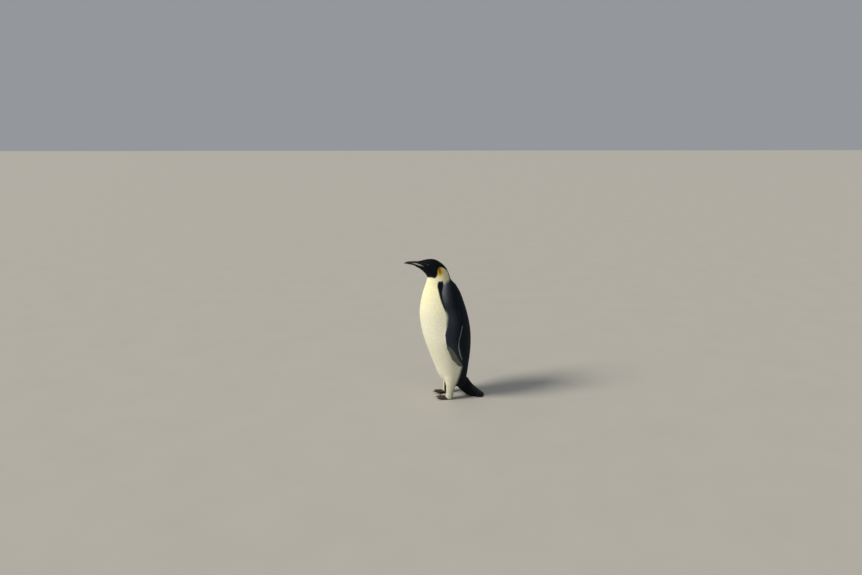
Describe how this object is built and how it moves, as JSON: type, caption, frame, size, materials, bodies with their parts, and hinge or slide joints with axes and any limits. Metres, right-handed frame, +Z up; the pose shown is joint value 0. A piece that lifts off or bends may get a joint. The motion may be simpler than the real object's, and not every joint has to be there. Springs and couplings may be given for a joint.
{
  "type": "emperor penguin",
  "caption": "Life-size still model of an adult emperor penguin standing upright on both feet, flippers at its sides and tail tip on the floor.",
  "frame": {"origin": "middle of the footprint's box, on the floor under the bird", "axes": "+Z up, the bird faces -Y, its left side is +X"},
  "size_m": [0.3206, 0.5372, 0.9505],
  "materials": {
    "black_plumage": "short dense black feathers with a faint satin sheen",
    "yellow_plumage": "dense feathers, golden at the ear fading to pale yellow",
    "cream_plumage": "dense satin white feathers, pale yellow on the breast",
    "grey_plumage": "tiny stiff blue-black feathers laid flat",
    "foot_skin": "dark brown-black scaled skin",
    "claw": "black horn, worn dull at the tips",
    "bill_horn": "black-brown horn with a low polish",
    "bill_plate": "pale lilac-pink horn plate",
    "eye": "wet dark brown eye"
  },
  "bodies": {
    "root": {"head": "black_plumage", "neck": "yellow_plumage", "trunk": "cream_plumage", "flipper_left": "grey_plumage", "flipper_right": "grey_plumage", "tail": "black_plumage", "leg_left": "cream_plumage", "leg_right": "cream_plumage", "foot_left": "foot_skin", "foot_right": "foot_skin", "claw_inner_left": "claw", "claw_middle_left": "claw", "claw_outer_left": "claw", "claw_hallux_left": "claw", "claw_inner_right": "claw", "claw_middle_right": "claw", "claw_outer_right": "claw", "claw_hallux_right": "claw", "bill_upper": "bill_horn", "bill_lower": "bill_horn", "bill_plate_left": "bill_plate", "bill_plate_right": "bill_plate", "eye_left": "eye", "eye_right": "eye"}
  },
  "joints": []
}
